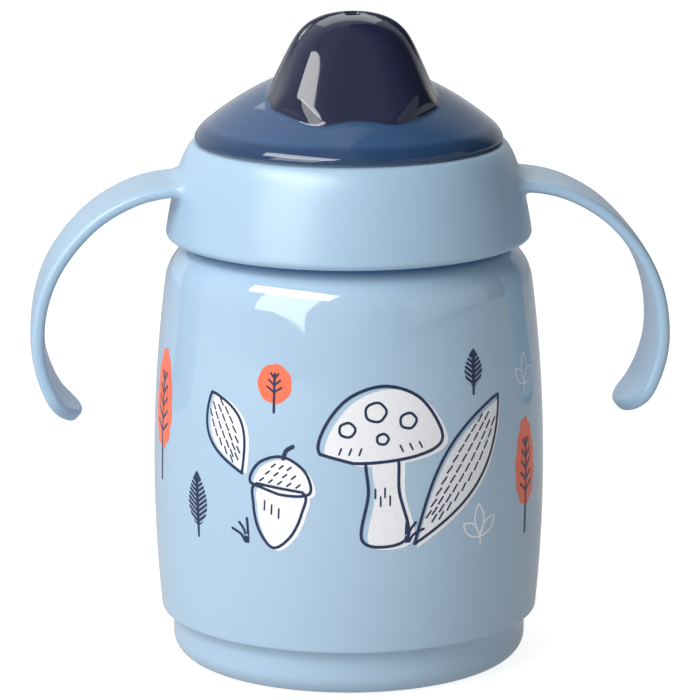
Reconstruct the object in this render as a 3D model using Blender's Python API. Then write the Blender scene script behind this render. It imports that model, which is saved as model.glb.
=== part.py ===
"""Training cup with a screw-on collar, two open handles and a soft drinking spout.

Lengths below are in millimetres, and MM turns them into Blender's metres. The origin is the centre
of the cup's foot, +Z is up, the handles lie along X and the spout leans towards -Y.
"""

import math

import bmesh
import bpy

MM = 0.001
TURN_STEPS = 40
VALVE_STEPS = 32
HOLE_STEPS = 14

# Room between pieces that touch, and how far a cutter reaches past what it cuts
GAP = 0.3
OVERSHOOT = 1.0

# Cup body
FOOT_RADIUS = 29.8
FOOT_RECESS_RADIUS = 26.5
FOOT_RECESS = 1.0
BASE_RADIUS = 34.6
BASE_ROUNDING = 4.5
STEP_HEIGHT = 9.3
STEP_EDGE = 0.5
BARREL_RADIUS = 38.1
BARREL_HEIGHT = 37.0
BARREL_CURVE = 0.00173
BARREL_SPANS = 6
SHOULDER_START = 74.8
SHOULDER_ROUNDING = 9.2
WALL = 1.8
FLOOR_TOP = 3.0
NECK_RADIUS = 29.4
NECK_BORE = 27.6
RIM_TOP = 95.7
RIM_EDGE = 0.5

# Thread that joins the cup and the collar
THREAD_LEAD = 4.0
THREAD_TURNS = 1.25
THREAD_START = 86.5
THREAD_CREST_RADIUS = 30.7
THREAD_BASE_WIDTH = 2.2
THREAD_CREST_WIDTH = 0.8
THREAD_ROOT_DEPTH = 0.6
THREAD_FADE_DEGREES = 20.0
THREAD_END_SHARE = 0.15
COLLAR_THREAD_CREST = 29.8
COLLAR_THREAD_DROP = 1.5

# Collar
SKIRT_BOTTOM = 82.9
SKIRT_BORE = 31.1
SKIRT_LEAD_IN = 0.8
SKIRT_LIP = 0.5
SKIRT_EDGE_INSET = 1.2
SKIRT_EDGE = 0.35
SEAL_SEAT = 97.5
SEAL_SEAT_INNER = 27.3
COLLAR_OUTLINE = [(35.46, 84.0), (34.42, 90.0), (33.2, 95.0), (31.5, 99.8), (30.4, 101.5)]
LEDGE_INNER = 28.4
DECK_GAP = 0.35
DECK_THICKNESS = 1.5
DECK_RINGS = 6

# Handles, each an open hook whose centre line runs from the collar down to the tip
HANDLE_LINE = [
    (30.0, 94.1), (38.7, 92.9), (44.9, 90.45), (50.4, 86.6), (55.5, 80.7),
    (58.7, 74.5), (60.3, 67.5), (60.1, 59.8), (57.2, 52.2), (52.6, 48.2),
]
HANDLE_WIDTH = 20.5
HANDLE_ROOT_THICKNESS = 2.6
HANDLE_TIP_THICKNESS = 2.9
HANDLE_TIP_LENGTH = 8.0
HANDLE_TIP_SHARE = 0.25
HANDLE_EDGE_SHARE = 0.3
HANDLE_STEPS_PER_SPAN = 3

# Dome and spout, one soft shell
DOME_APEX = 116.5
DOME_CURVE = 0.01475
DOME_RIM_RADIUS = 30.5
DOME_RIM_BOTTOM = 101.8
DOME_RIM_TOP = 102.7
DOME_RIM_EDGE = 0.35
DOME_RINGS = 8
DOME_WALL = 1.3
DOME_SKIRT_BORE = 28.9
SPOUT_FOOT = 108.0
SPOUT_BURIED = 4.0
SPOUT_RISE = 20.4
SPOUT_HALF_WIDTH = 17.7
SPOUT_TAPER = 0.43
SPOUT_RIDGE_Y = -9.0
SPOUT_FRONT_Y = -23.2
SPOUT_FRONT_LEAN = 0.54
SPOUT_REAR_Y = 11.5
SPOUT_REAR_LEAN = -0.85
SPOUT_BULGE = 0.0139
SPOUT_BULGE_POWER = 2.3
SPOUT_ARCH_POWER = 10.0
SPOUT_ARCH_FRONT = -26.0
SPOUT_ARCH_BACK = 14.0
SPOUT_WALL = 1.4
CREASE_DEPTH = 4.4
CREASE_NARROWING = 0.8
CREASE_TAPER = 0.04
CREASE_DROP = 1.85
SLOT_LENGTH = 6.0
SLOT_WIDTH = 1.4
SLOT_CUT = 8.0

# Well and socket in the collar, under the spout
WELL_Y = -9.0
WELL_HALF_WIDTH = 14.5
WELL_HALF_DEPTH = 12.3
WELL_WALL = 1.6
WELL_FLOOR = 103.5
SOCKET_BOTTOM = 97.0
SOCKET_BORE = 11.5

# Valve unit, pushed up into the socket; its own heights start at its datum
VALVE_DATUM = 94.0
HOUSING_RADIUS = 11.2
HOUSING_BORE = 9.0
HOUSING_FLANGE_RADIUS = 12.9
HOUSING_FLANGE_BOTTOM = 0.9
HOUSING_FLANGE_TOP = 2.6
HOUSING_TOP = 9.1
HOUSING_ROOF = 1.3
HOUSING_EDGE = 0.4
GROOVE_RADIUS = 10.2
GROOVE_BOTTOM = 5.0
GROOVE_TOP = 6.8
PORT_COUNT = 6
PORT_RADIUS = 1.4
PORT_CIRCLE = 5.8
PORT_START = 8.0
PORT_STEPS = 10
RING_OUTER = 11.3
RING_INNER = 10.5
RING_EDGE = 0.3
COVER_RADIUS = 8.7
COVER_BORE = 7.4
COVER_FLANGE_RADIUS = 11.8
COVER_BOTTOM = -0.9
COVER_PLATE_TOP = 0.6
COVER_TOP = 4.0
SEAT_OUTER = 3.6
SEAT_INNER = 2.4
TAB_WIDTH = 9.0
TAB_THICKNESS = 1.6
TAB_DROP = 4.0
TAB_ROOT = 0.6
DIAPHRAGM_RADIUS = 8.5
DIAPHRAGM_BOTTOM = 4.3
DIAPHRAGM_THICKNESS = 0.9
DIAPHRAGM_RIM = 2.0
DIAPHRAGM_RIM_WIDTH = 1.2
DIAPHRAGM_RIM_SLOPE = 0.6
DIAPHRAGM_CROWN_SLOPE = 0.8
DIAPHRAGM_CROWN = 0.8

# Air vent behind the spout
VENT_Y = 16.0
VENT_BOSS_RADIUS = 5.4
VENT_BOSS_BOTTOM = 106.0
VENT_HOLE_RADIUS = 1.4
VENT_POCKET_RADIUS = 2.8
VENT_POCKET_FLOOR = 107.6
VENT_CAP_RADIUS = 4.4
VENT_CAP_THICKNESS = 1.5
VENT_CAP_EDGE = 0.6
VENT_STEM_RADIUS = 1.0
VENT_KNOB_RADIUS = 1.9
VENT_KNOB_BOTTOM = 1.0
VENT_KNOB_TOP = 2.1
DOME_VENT_RADIUS = 0.8

# Rim seal
RIM_SEAL_INNER = 27.6
RIM_SEAL_OUTER = 30.7
RIM_SEAL_EDGE = 0.35


def clear_scene():
    for obj in list(bpy.data.objects):
        bpy.data.objects.remove(obj)


def plastic(name, colour, roughness):
    material = bpy.data.materials.new(name)
    material.use_nodes = True
    shader = material.node_tree.nodes["Principled BSDF"]
    shader.inputs["Base Color"].default_value = (*colour, 1.0)
    shader.inputs["Roughness"].default_value = roughness
    shader.inputs["Metallic"].default_value = 0.0
    return material


def empty(name, location):
    obj = bpy.data.objects.new(name, None)
    obj.location = [value * MM for value in location]
    bpy.context.collection.objects.link(obj)
    return obj


def mesh_object(name, bm):
    """Turn a bmesh into a smooth-shaded object with its faces pointing out."""
    bmesh.ops.recalc_face_normals(bm, faces=bm.faces)
    mesh = bpy.data.meshes.new(name)
    bm.to_mesh(mesh)
    bm.free()
    mesh.shade_smooth()
    mesh.set_sharp_from_angle(angle=math.radians(35))
    obj = bpy.data.objects.new(name, mesh)
    bpy.context.collection.objects.link(obj)
    return obj


def finish(obj, material, parent):
    obj.data.materials.append(material)
    obj.parent = parent
    return obj


def turned(name, outline, steps=TURN_STEPS):
    """Turn an outline of (radius, height) points about Z.

    An outline that starts and ends on the axis closes there; any other is closed on itself.
    """
    bm = bmesh.new()
    rings = []
    for radius, height in outline:
        count = steps if radius else 1
        angles = [math.tau * i / count for i in range(count)]
        rings.append([
            bm.verts.new((radius * MM * math.cos(a), radius * MM * math.sin(a), height * MM))
            for a in angles
        ])
    pairs = list(zip(rings, rings[1:]))
    if len(rings[0]) > 1:
        pairs.append((rings[-1], rings[0]))
    for low, high in pairs:
        for i in range(steps):
            j = (i + 1) % steps
            corners = [low[i % len(low)], low[j % len(low)], high[j % len(high)], high[i % len(high)]]
            bm.faces.new(dict.fromkeys(corners))
    return mesh_object(name, bm)


def lofted(name, rings):
    """Skin closed rings of (x, y, z) points, all with the same count, and cap both ends."""
    bm = bmesh.new()
    loops = [[bm.verts.new([value * MM for value in point]) for point in ring] for ring in rings]
    for low, high in zip(loops, loops[1:]):
        for i in range(len(low)):
            j = (i + 1) % len(low)
            bm.faces.new((low[i], low[j], high[j], high[i]))
    bm.faces.new(loops[0])
    bm.faces.new(loops[-1])
    return mesh_object(name, bm)


def rod(name, radius, bottom, top, steps=HOLE_STEPS):
    return turned(name, [(0, bottom), (radius, bottom), (radius, top), (0, top)], steps)


def box(name, size, centre):
    bm = bmesh.new()
    bmesh.ops.create_cube(bm, size=MM)
    bmesh.ops.scale(bm, vec=size, verts=bm.verts)
    bmesh.ops.translate(bm, vec=[value * MM for value in centre], verts=bm.verts)
    return mesh_object(name, bm)


def combine(target, tool, operation):
    """Add a Boolean by a tool object that is itself hidden."""
    tool.hide_render = True
    tool.display_type = "WIRE"
    modifier = target.modifiers.new(tool.name, "BOOLEAN")
    modifier.operation = operation
    modifier.solver = "EXACT"
    modifier.object = tool


def arc(centre, radius, start, end, steps):
    """Points on an arc from one angle to another, in degrees."""
    return [
        (
            centre[0] + radius * math.cos(math.radians(start + (end - start) * i / steps)),
            centre[1] + radius * math.sin(math.radians(start + (end - start) * i / steps)),
        )
        for i in range(steps + 1)
    ]


def smooth_path(points, steps):
    """A Catmull-Rom curve through points, with the same number of steps in every span."""
    first = [2 * a - b for a, b in zip(points[0], points[1])]
    last = [2 * a - b for a, b in zip(points[-1], points[-2])]
    padded = [first, *points, last]
    path = []
    for a, b, c, d in zip(padded, padded[1:], padded[2:], padded[3:]):
        for i in range(steps):
            t = i / steps
            path.append(tuple(
                0.5 * (2 * q + (r - p) * t + (2 * p - 5 * q + 4 * r - s) * t ** 2
                       + (3 * q - p - 3 * r + s) * t ** 3)
                for p, q, r, s in zip(a, b, c, d)
            ))
    path.append(tuple(points[-1]))
    return path


def barrel_radius(height):
    return BARREL_RADIUS - BARREL_CURVE * (height - BARREL_HEIGHT) ** 2


def dome_height(radius, drop=0.0):
    return DOME_APEX - drop - DOME_CURVE * radius ** 2


def shoulder_arc(radius, neck_radius):
    """The shoulder from where it leaves the barrel without a corner to where it meets the neck."""
    slope = math.atan(2 * BARREL_CURVE * (SHOULDER_START - BARREL_HEIGHT))
    centre = (
        barrel_radius(SHOULDER_START) - SHOULDER_ROUNDING * math.cos(slope),
        SHOULDER_START - SHOULDER_ROUNDING * math.sin(slope),
    )
    at_neck = math.acos((neck_radius - centre[0]) / radius)
    return arc(centre, radius, math.degrees(slope), math.degrees(at_neck), 5)


def cup_outline():
    """The cup's outline from the centre of its underside, up the outside and down the inside."""
    outline = [(0, FOOT_RECESS), (FOOT_RECESS_RADIUS - FOOT_RECESS, FOOT_RECESS), (FOOT_RECESS_RADIUS, 0)]
    base_arc_centre = (BASE_RADIUS - BASE_ROUNDING, BASE_ROUNDING)
    outline += [(FOOT_RADIUS, 0), *arc(base_arc_centre, BASE_ROUNDING, -75, 0, 4)]
    step_radius = barrel_radius(STEP_HEIGHT)
    outline += [(BASE_RADIUS, STEP_HEIGHT), (step_radius - STEP_EDGE, STEP_HEIGHT)]
    barrel_bottom = STEP_HEIGHT + STEP_EDGE
    span = (SHOULDER_START - barrel_bottom) / BARREL_SPANS
    heights = [barrel_bottom + span * i for i in range(BARREL_SPANS)]
    outline += [(barrel_radius(height), height) for height in heights]
    outline += shoulder_arc(SHOULDER_ROUNDING, NECK_RADIUS)
    outline += [(NECK_RADIUS, RIM_TOP - RIM_EDGE), (NECK_RADIUS - RIM_EDGE, RIM_TOP)]
    outline += [(NECK_BORE + RIM_EDGE, RIM_TOP), (NECK_BORE, RIM_TOP - RIM_EDGE)]
    outline += reversed(shoulder_arc(SHOULDER_ROUNDING - WALL, NECK_BORE))
    outline += [(barrel_radius(height) - WALL, height) for height in (70.0, 54.0, 37.0, 20.0)]
    floor_arc_centre = (BASE_RADIUS - WALL - BASE_ROUNDING, FLOOR_TOP + BASE_ROUNDING)
    outline += arc(floor_arc_centre, BASE_ROUNDING, 0, -90, 4)
    outline.append((0, FLOOR_TOP))
    return outline


def thread(name, root, crest, start_height):
    """A helical ridge with faded ends; its root is buried in the wall that carries it."""
    outward = 1 if crest > root else -1
    steps = round(TURN_STEPS * THREAD_TURNS)
    rings = []
    for i in range(steps + 1):
        angle = math.tau * i / TURN_STEPS
        height = start_height + THREAD_LEAD * i / TURN_STEPS
        from_end = min(i, steps - i) * 360 / TURN_STEPS
        fade = min(1.0, THREAD_END_SHARE + (1 - THREAD_END_SHARE) * from_end / THREAD_FADE_DEGREES)
        top = root + (crest - root) * fade
        buried = root - outward * THREAD_ROOT_DEPTH
        base = THREAD_BASE_WIDTH / 2 * fade
        edge = THREAD_CREST_WIDTH / 2 * fade
        section = [(buried, base), (top, edge), (top, -edge), (buried, -base)]
        rings.append([(r * math.cos(angle), r * math.sin(angle), height + z) for r, z in section])
    return lofted(name, rings)


def cup_body(material):
    body = turned("cup_body", cup_outline())
    combine(body, thread("cup_thread", NECK_RADIUS, THREAD_CREST_RADIUS, THREAD_START), "UNION")
    return finish(body, material, None)


def handle(name, side):
    """One hook: a rounded band swept along the centre line, with a rounded tip."""
    line = smooth_path(HANDLE_LINE, HANDLE_STEPS_PER_SPAN)
    lengths = [0.0]
    for a, b in zip(line, line[1:]):
        lengths.append(lengths[-1] + math.dist(a, b))
    rings = []
    for i, (x, z) in enumerate(line):
        before = line[max(i - 1, 0)]
        after = line[min(i + 1, len(line) - 1)]
        run = math.dist(before, after)
        normal = ((after[1] - before[1]) / run, -(after[0] - before[0]) / run)
        share = lengths[i] / lengths[-1]
        thickness = HANDLE_ROOT_THICKNESS + (HANDLE_TIP_THICKNESS - HANDLE_ROOT_THICKNESS) * share
        left = min(1.0, (lengths[-1] - lengths[i]) / HANDLE_TIP_LENGTH)
        closing = max(HANDLE_TIP_SHARE, math.sqrt(1 - (1 - left) ** 2))
        width = HANDLE_WIDTH * closing
        edge = thickness * HANDLE_EDGE_SHARE
        section = [
            (-width / 2, -thickness / 2 + edge), (-width / 2, thickness / 2 - edge),
            (-width / 2 + edge, thickness / 2), (width / 2 - edge, thickness / 2),
            (width / 2, thickness / 2 - edge), (width / 2, -thickness / 2 + edge),
            (width / 2 - edge, -thickness / 2), (-width / 2 + edge, -thickness / 2),
        ]
        rings.append([
            (side * (x - normal[0] * out), across, z - normal[1] * out) for across, out in section
        ])
    return lofted(name, rings)


def collar_shell():
    """The collar's outside: skirt, ledge for the dome's rim, and the deck under the dome."""
    deck_drop = DOME_WALL + DECK_GAP
    foot_radius = COLLAR_OUTLINE[0][0]
    outline = [(0, SKIRT_BOTTOM), (foot_radius - SKIRT_EDGE_INSET, SKIRT_BOTTOM)]
    outline.append((foot_radius - SKIRT_EDGE, SKIRT_BOTTOM + SKIRT_EDGE))
    outline += smooth_path(COLLAR_OUTLINE, 2)
    outline += [(LEDGE_INNER, COLLAR_OUTLINE[-1][1])]
    radii = [LEDGE_INNER * i / DECK_RINGS for i in range(DECK_RINGS, -1, -1)]
    outline += [(radius, dome_height(radius, deck_drop)) for radius in radii]
    return turned("handle_collar", outline)


def oval(half_width, half_depth, height, steps=32):
    """A level ring with the spout's blunt oval outline, about the well's centre."""
    power = 2 / SPOUT_BULGE_POWER
    ring = []
    for i in range(steps):
        c = math.cos(math.tau * i / steps)
        s = math.sin(math.tau * i / steps)
        ring.append((
            half_width * math.copysign(abs(c) ** power, c),
            WELL_Y + half_depth * math.copysign(abs(s) ** power, s),
            height,
        ))
    return ring


def oval_block(name, grow, bottom, top):
    half_width = WELL_HALF_WIDTH + grow
    half_depth = WELL_HALF_DEPTH + grow
    return lofted(name, [oval(half_width, half_depth, bottom), oval(half_width, half_depth, top)])


def collar_hollow():
    """The collar's inside, which leaves the thread, the well's wall and the vent's boss standing."""
    under_deck = DOME_WALL + DECK_GAP + DECK_THICKNESS
    mouth = SKIRT_BORE + SKIRT_LEAD_IN
    radii = [SEAL_SEAT_INNER * i / DECK_RINGS for i in range(DECK_RINGS, -1, -1)]
    below = SKIRT_BOTTOM - OVERSHOOT
    lip_top = SKIRT_BOTTOM + SKIRT_LIP
    outline = [
        (0, below), (mouth, below), (mouth, lip_top), (SKIRT_BORE, lip_top + SKIRT_LEAD_IN),
        (SKIRT_BORE, SEAL_SEAT), (SEAL_SEAT_INNER, SEAL_SEAT),
    ]
    outline += [(radius, dome_height(radius, under_deck)) for radius in radii]
    hollow = turned("collar_cutter", outline)
    combine(hollow, oval_block("well_wall", WELL_WALL, SOCKET_BOTTOM, DOME_APEX), "DIFFERENCE")
    boss = rod("vent_boss", VENT_BOSS_RADIUS, VENT_BOSS_BOTTOM, DOME_APEX)
    boss.location.y = VENT_Y * MM
    combine(hollow, boss, "DIFFERENCE")
    start = THREAD_START - COLLAR_THREAD_DROP
    combine(hollow, thread("collar_thread", SKIRT_BORE, COLLAR_THREAD_CREST, start), "DIFFERENCE")
    return hollow


def handle_collar(material, parent):
    collar = collar_shell()
    for name, side in (("handle_right", 1), ("handle_left", -1)):
        combine(collar, handle(name, side), "UNION")
    combine(collar, collar_hollow(), "DIFFERENCE")
    combine(collar, oval_block("well_cutter", 0, WELL_FLOOR, DOME_APEX + OVERSHOOT), "DIFFERENCE")
    socket = (SOCKET_BOTTOM - OVERSHOOT, WELL_FLOOR + OVERSHOOT)
    bore = rod("socket_cutter", SOCKET_BORE, *socket, VALVE_STEPS)
    bore.location.y = WELL_Y * MM
    vent = turned("vent_cutter", [
        (0, VENT_BOSS_BOTTOM - OVERSHOOT), (VENT_HOLE_RADIUS, VENT_BOSS_BOTTOM - OVERSHOOT),
        (VENT_HOLE_RADIUS, VENT_POCKET_FLOOR), (VENT_POCKET_RADIUS, VENT_POCKET_FLOOR),
        (VENT_POCKET_RADIUS, DOME_APEX), (0, DOME_APEX),
    ], HOLE_STEPS)
    vent.location.y = VENT_Y * MM
    for cutter in (bore, vent):
        combine(collar, cutter, "DIFFERENCE")
    return finish(collar, material, parent)


def spout_arch(y, inset, steps=9):
    """The spout's front-on arch at a depth y; it narrows and drops towards the front crease."""
    forward = max(0.0, (SPOUT_RIDGE_Y - y) / CREASE_DEPTH)
    half_width = SPOUT_HALF_WIDTH - CREASE_NARROWING * forward - inset
    taper = SPOUT_TAPER + CREASE_TAPER * forward
    rise = SPOUT_RISE - CREASE_DROP * forward - inset
    right = [(half_width + taper * SPOUT_BURIED, y, SPOUT_FOOT - SPOUT_BURIED)]
    for i in range(steps):
        angle = math.pi / 2 * i / steps
        height = rise * math.sin(angle) ** (2 / SPOUT_ARCH_POWER)
        right.append(((half_width - taper * height) * math.cos(angle), y, SPOUT_FOOT + height))
    left = [(-x, depth, z) for x, depth, z in reversed(right)]
    return [*right, (0, y, SPOUT_FOOT + rise), *left]


def spout_lens(rise, inset, steps=12):
    """The spout's level outline at a rise above its foot: a leaning front face and rear face."""
    front = SPOUT_FRONT_Y + SPOUT_FRONT_LEAN * rise + inset * math.hypot(1, SPOUT_FRONT_LEAN)
    rear = SPOUT_REAR_Y + SPOUT_REAR_LEAN * rise - inset * math.hypot(1, SPOUT_REAR_LEAN)
    middle = (front + rear) / 2
    reach = ((rear - front) / 2 / SPOUT_BULGE) ** (1 / SPOUT_BULGE_POWER)
    xs = [reach * math.sin(math.pi * (i / steps - 0.5)) for i in range(steps + 1)]
    bulge = [SPOUT_BULGE * abs(x) ** SPOUT_BULGE_POWER for x in xs]
    level = SPOUT_FOOT + rise
    front_side = [(x, front + sag, level) for x, sag in zip(xs[1:-1], bulge[1:-1])]
    rear_side = [(x, rear - sag, level) for x, sag in zip(xs[1:-1], bulge[1:-1])]
    return [(xs[0], middle, level), *front_side, (xs[-1], middle, level), *reversed(rear_side)]


def spout_form(name, inset, bottom_rise):
    """The solid between the front and rear faces, under the arch."""
    depths = (SPOUT_ARCH_FRONT, SPOUT_RIDGE_Y, SPOUT_ARCH_BACK)
    form = lofted(name, [spout_arch(y, inset) for y in depths])
    rises = (bottom_rise, SPOUT_RISE + OVERSHOOT)
    lens = lofted(name + "_faces", [spout_lens(rise, inset) for rise in rises])
    combine(form, lens, "INTERSECT")
    return form


def spout_dome(material, parent):
    """The translucent shell: a shallow dome with the hollow spout standing on it."""
    rim = [(0, DOME_RIM_BOTTOM), (DOME_RIM_RADIUS - DOME_RIM_EDGE, DOME_RIM_BOTTOM)]
    rim.append((DOME_RIM_RADIUS, DOME_RIM_BOTTOM + DOME_RIM_EDGE))
    rim.append((DOME_RIM_RADIUS, DOME_RIM_TOP - DOME_RIM_EDGE))
    radii = [DOME_RIM_RADIUS * i / DOME_RINGS for i in range(DOME_RINGS)]
    crown = [(radius, dome_height(radius)) for radius in reversed(radii[1:])]
    shell = turned("spout_dome", [*rim, *crown, (0, dome_height(0))])
    combine(shell, spout_form("spout_outside", 0.0, -2.0), "UNION")
    inner_radii = [DOME_SKIRT_BORE * i / DOME_RINGS for i in range(DOME_RINGS)]
    below = DOME_RIM_BOTTOM - OVERSHOOT
    inside = [(0, below), (DOME_SKIRT_BORE, below)]
    inside += [(DOME_SKIRT_BORE, dome_height(DOME_SKIRT_BORE, DOME_WALL))]
    inside += [(radius, dome_height(radius, DOME_WALL)) for radius in reversed(inner_radii)]
    combine(shell, turned("dome_cutter", inside), "DIFFERENCE")
    combine(shell, spout_form("spout_inside", SPOUT_WALL, -3.5), "DIFFERENCE")
    slot_centre = (0, SPOUT_RIDGE_Y, SPOUT_FOOT + SPOUT_RISE)
    combine(shell, box("slot_cutter", (SLOT_LENGTH, SLOT_WIDTH, SLOT_CUT), slot_centre), "DIFFERENCE")
    vent = rod("dome_vent_cutter", DOME_VENT_RADIUS, DOME_RIM_TOP, DOME_APEX + OVERSHOOT)
    vent.location.y = VENT_Y * MM
    combine(shell, vent, "DIFFERENCE")
    return finish(shell, material, parent)


def rim_seal(material):
    bottom = RIM_TOP + GAP
    top = SEAL_SEAT - GAP
    lip = RIM_SEAL_EDGE
    outline = [
        (RIM_SEAL_INNER, bottom + lip), (RIM_SEAL_INNER + lip, bottom), (RIM_SEAL_OUTER - lip, bottom),
        (RIM_SEAL_OUTER, bottom + lip), (RIM_SEAL_OUTER, top - lip), (RIM_SEAL_OUTER - lip, top),
        (RIM_SEAL_INNER + lip, top), (RIM_SEAL_INNER, top - lip),
    ]
    return finish(turned("rim_seal", outline), material, None)


def port_cutters(name, target, bottom, top):
    """A ring of round ports through a plate of the valve."""
    for i in range(PORT_COUNT):
        angle = math.radians(PORT_START) + math.tau * i / PORT_COUNT
        port = rod(f"{name}_{i}", PORT_RADIUS, bottom, top, PORT_STEPS)
        port.location = (PORT_CIRCLE * MM * math.cos(angle), PORT_CIRCLE * MM * math.sin(angle), 0)
        port.parent = target
        combine(target, port, "DIFFERENCE")


def valve_housing(material, parent):
    roof_bottom = HOUSING_TOP - HOUSING_ROOF
    outline = [
        (0, roof_bottom), (HOUSING_BORE, roof_bottom), (HOUSING_BORE, HOUSING_FLANGE_BOTTOM),
        (HOUSING_FLANGE_RADIUS, HOUSING_FLANGE_BOTTOM), (HOUSING_FLANGE_RADIUS, HOUSING_FLANGE_TOP),
        (HOUSING_RADIUS, HOUSING_FLANGE_TOP), (HOUSING_RADIUS, GROOVE_BOTTOM),
        (GROOVE_RADIUS, GROOVE_BOTTOM), (GROOVE_RADIUS, GROOVE_TOP), (HOUSING_RADIUS, GROOVE_TOP),
        (HOUSING_RADIUS, HOUSING_TOP - HOUSING_EDGE), (HOUSING_RADIUS - HOUSING_EDGE, HOUSING_TOP),
        (0, HOUSING_TOP),
    ]
    housing = turned("valve_housing", outline, VALVE_STEPS)
    port_cutters("housing_port", housing, roof_bottom - OVERSHOOT, HOUSING_TOP + OVERSHOOT)
    return finish(housing, material, parent)


def valve_seal_ring(material, parent):
    middle = (GROOVE_BOTTOM + GROOVE_TOP) / 2
    bottom = GROOVE_BOTTOM + GAP
    top = GROOVE_TOP - GAP
    shoulder = RING_OUTER - RING_EDGE
    outline = [
        (RING_INNER, bottom), (shoulder, bottom), (RING_OUTER, middle), (shoulder, top), (RING_INNER, top),
    ]
    return finish(turned("valve_seal_ring", outline, VALVE_STEPS), material, parent)


def valve_diaphragm(material, parent):
    """A flexible disc with a stiff rim and a raised crown over the cover's seat."""
    bottom = DIAPHRAGM_BOTTOM
    top = bottom + DIAPHRAGM_THICKNESS
    rim_inner = DIAPHRAGM_RADIUS - DIAPHRAGM_RIM_WIDTH
    outline = [
        (0, bottom), (DIAPHRAGM_RADIUS, bottom), (DIAPHRAGM_RADIUS, bottom + DIAPHRAGM_RIM),
        (rim_inner, bottom + DIAPHRAGM_RIM), (rim_inner - DIAPHRAGM_RIM_SLOPE, top),
        (SEAT_OUTER + DIAPHRAGM_CROWN_SLOPE, top), (SEAT_OUTER, top + DIAPHRAGM_CROWN),
        (0, top + DIAPHRAGM_CROWN),
    ]
    return finish(turned("valve_diaphragm", outline, VALVE_STEPS), material, parent)


def valve_cover(material, parent):
    """The clip-on floor of the valve, with the diaphragm's seat and a tab to pull it by."""
    outline = [
        (0, COVER_BOTTOM), (COVER_FLANGE_RADIUS, COVER_BOTTOM), (COVER_FLANGE_RADIUS, COVER_PLATE_TOP),
        (COVER_RADIUS, COVER_PLATE_TOP), (COVER_RADIUS, COVER_TOP), (COVER_BORE, COVER_TOP),
        (COVER_BORE, COVER_PLATE_TOP), (SEAT_OUTER, COVER_PLATE_TOP), (SEAT_OUTER, COVER_TOP),
        (SEAT_INNER, COVER_TOP), (SEAT_INNER, COVER_PLATE_TOP), (0, COVER_PLATE_TOP),
    ]
    cover = turned("valve_cover", outline, VALVE_STEPS)
    tab_height = TAB_DROP + TAB_ROOT
    tab_centre = (0, 0, COVER_BOTTOM - TAB_DROP + tab_height / 2)
    tab = box("cover_tab", (TAB_WIDTH, TAB_THICKNESS, tab_height), tab_centre)
    tab.parent = cover
    combine(cover, tab, "UNION")
    port_cutters("cover_port", cover, COVER_BOTTOM - OVERSHOOT, COVER_PLATE_TOP + OVERSHOOT)
    return finish(cover, material, parent)


def vent_valve(material, parent):
    """A small umbrella: a cap under the boss, a stem through it and a knob that holds it."""
    cap_top = -GAP
    pocket = VENT_POCKET_FLOOR - VENT_BOSS_BOTTOM
    knob_bottom = pocket + VENT_KNOB_BOTTOM
    outline = [
        (0, cap_top - VENT_CAP_THICKNESS), (VENT_CAP_RADIUS / 2, cap_top - VENT_CAP_THICKNESS),
        (VENT_CAP_RADIUS, cap_top - VENT_CAP_EDGE), (VENT_CAP_RADIUS, cap_top),
        (VENT_STEM_RADIUS, cap_top), (VENT_STEM_RADIUS, knob_bottom), (VENT_KNOB_RADIUS, knob_bottom),
        (VENT_STEM_RADIUS, pocket + VENT_KNOB_TOP), (0, pocket + VENT_KNOB_TOP),
    ]
    return finish(turned("vent_valve", outline, HOLE_STEPS), material, parent)


def main():
    clear_scene()
    body_plastic = plastic("body_plastic", (0.38, 0.60, 0.80), 0.18)
    collar_plastic = plastic("collar_plastic", (0.42, 0.64, 0.83), 0.32)
    spout_soft = plastic("spout_soft", (0.028, 0.032, 0.075), 0.12)
    valve_plastic = plastic("valve_plastic", (0.82, 0.84, 0.86), 0.35)
    silicone = plastic("silicone", (0.72, 0.75, 0.78), 0.5)

    lid_axis = empty("lid_axis", (0, 0, 0))
    valve_axis = empty("valve_axis", (0, WELL_Y, VALVE_DATUM))
    vent_axis = empty("vent_axis", (0, VENT_Y, VENT_BOSS_BOTTOM))

    cup_body(body_plastic)
    rim_seal(silicone)
    handle_collar(collar_plastic, lid_axis)
    spout_dome(spout_soft, lid_axis)
    valve_housing(valve_plastic, valve_axis)
    valve_seal_ring(silicone, valve_axis)
    valve_diaphragm(silicone, valve_axis)
    valve_cover(valve_plastic, valve_axis)
    vent_valve(silicone, vent_axis)


main()
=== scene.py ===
"""Looks of a training cup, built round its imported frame.

Lengths are in millimetres and MM turns them into Blender's metres. +Z is up, the handles lie along X
and the spout leans towards -Y. The cup, rings and print are meshed directly. The collar with its
handles, the dome with its spout, and the valve's two plastic parts are fields, negative inside, that
are meshed where they are zero, so that their fillets and rounded edges are real geometry.
"""

import itertools
import math

import bpy
import numpy as np
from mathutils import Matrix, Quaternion, Vector
from mathutils.geometry import delaunay_2d_cdt


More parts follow.
